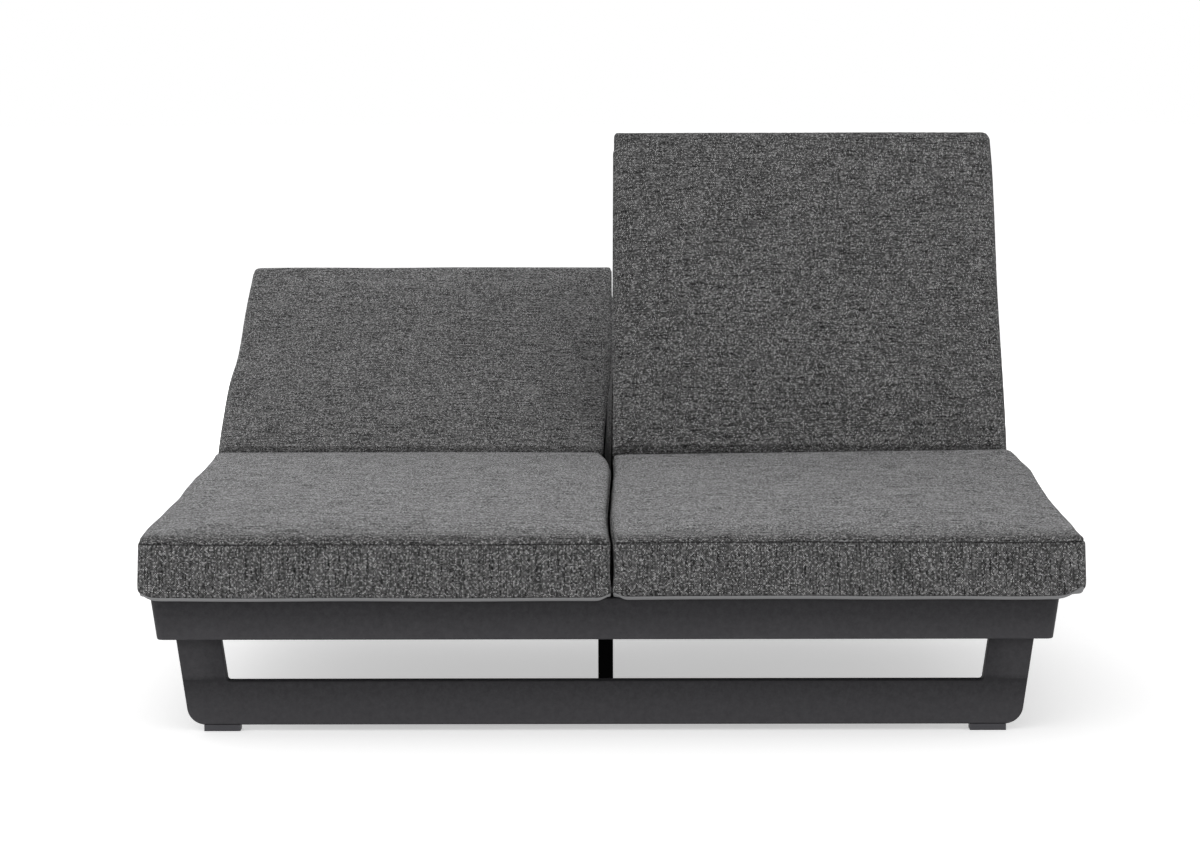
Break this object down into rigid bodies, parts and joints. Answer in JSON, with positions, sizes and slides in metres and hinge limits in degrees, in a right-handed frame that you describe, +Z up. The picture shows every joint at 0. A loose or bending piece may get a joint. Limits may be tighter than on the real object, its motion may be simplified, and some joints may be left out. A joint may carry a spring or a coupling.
{
  "type": "double sun lounger",
  "caption": "Double sun lounger on two sled leg frames with a leaning apron, thick fabric cushions and backrests that recline apart on notched racks.",
  "frame": {"origin": "on the floor, below the middle of the whole lounger with its backs as pictured", "axes": "+X across to the right as seen from the foot end, +Y from the foot end to the backrests, +Z up"},
  "size_m": [1.48, 1.9943, 0.9043],
  "materials": {
    "anthracite_coat": "anthracite powder coat, fine matt texture",
    "deck_coat": "anthracite powder coat, fine matt texture",
    "black_coat": "black powder coat, matt",
    "coated_steel": "dark powder coat, matt",
    "stainless": "plain stainless steel",
    "foot_plastic": "dark grey moulded plastic",
    "bearing_plastic": "black sliding plastic",
    "rubber": "black rubber",
    "cushion_fabric": "grey melange outdoor weave with light flecks"
  },
  "bodies": {
    "base": {"bracket_screws": "stainless", "centre_beam": "deck_coat", "centre_post_feet": "foot_plastic", "foot_pads": "foot_plastic", "foot_screws": "stainless", "front_apron_rail": "anthracite_coat", "front_centre_post": "black_coat", "front_left_leg": "anthracite_coat", "front_right_leg": "anthracite_coat", "front_sled_rail": "anthracite_coat", "left_apron_rail": "anthracite_coat", "left_hinge_brackets": "coated_steel", "left_hinge_bushes": "bearing_plastic", "left_hinge_crossbar": "deck_coat", "left_racks": "deck_coat", "left_seat_cushion": "cushion_fabric", "left_seat_slats": "deck_coat", "left_slat_bearers": "deck_coat", "leg_bolts": "stainless", "rear_apron_rail": "anthracite_coat", "rear_bumpers": "rubber", "rear_centre_post": "black_coat", "rear_left_leg": "anthracite_coat", "rear_right_leg": "anthracite_coat", "rear_sled_rail": "anthracite_coat", "right_apron_rail": "anthracite_coat", "right_hinge_brackets": "coated_steel", "right_hinge_bushes": "bearing_plastic", "right_hinge_crossbar": "deck_coat", "right_racks": "deck_coat", "right_seat_cushion": "cushion_fabric", "right_seat_slats": "deck_coat", "right_slat_bearers": "deck_coat"},
    "left_backrest": {"left_back_cross_tubes": "deck_coat", "left_back_cushion": "cushion_fabric", "left_back_inner_tube": "deck_coat", "left_back_outer_tube": "deck_coat", "left_back_slats": "deck_coat", "left_back_top_tube": "deck_coat", "left_hinge_bolts": "stainless", "left_stay_bolts": "stainless"},
    "right_backrest": {"right_back_cross_tubes": "deck_coat", "right_back_cushion": "cushion_fabric", "right_back_inner_tube": "deck_coat", "right_back_outer_tube": "deck_coat", "right_back_slats": "deck_coat", "right_back_top_tube": "deck_coat", "right_hinge_bolts": "stainless", "right_stay_bolts": "stainless"},
    "left_stay": {"left_stay_arms": "coated_steel", "left_stay_bushes": "bearing_plastic", "left_stay_foot_bar": "coated_steel", "left_stay_sleeves": "bearing_plastic"},
    "right_stay": {"right_stay_arms": "coated_steel", "right_stay_bushes": "bearing_plastic", "right_stay_foot_bar": "coated_steel", "right_stay_sleeves": "bearing_plastic"}
  },
  "joints": [
    {"name": "left_recline", "type": "hinge", "parent": "base", "child": "left_backrest", "pos_m": [0, 0.2486, 0.198], "axis": [1, 0, 0], "range_deg": [-24.59, 41.11]},
    {"name": "left_stay_swing", "type": "hinge", "parent": "left_backrest", "child": "left_stay", "pos_m": [0, 0.5032, 0.31453], "axis": [1, 0, 0], "range_deg": [-82.22, 49.19]},
    {"name": "right_recline", "type": "hinge", "parent": "base", "child": "right_backrest", "pos_m": [0, 0.2486, 0.198], "axis": [1, 0, 0], "range_deg": [-57.6, 8.11]},
    {"name": "right_stay_swing", "type": "hinge", "parent": "right_backrest", "child": "right_stay", "pos_m": [0, 0.39865, 0.4344], "axis": [1, 0, 0], "range_deg": [-16.22, 115.19]}
  ],
  "couplings": [
    {"joint": "left_stay_swing", "follows": "left_recline", "ratio": -2},
    {"joint": "right_stay_swing", "follows": "right_recline", "ratio": -2}
  ]
}
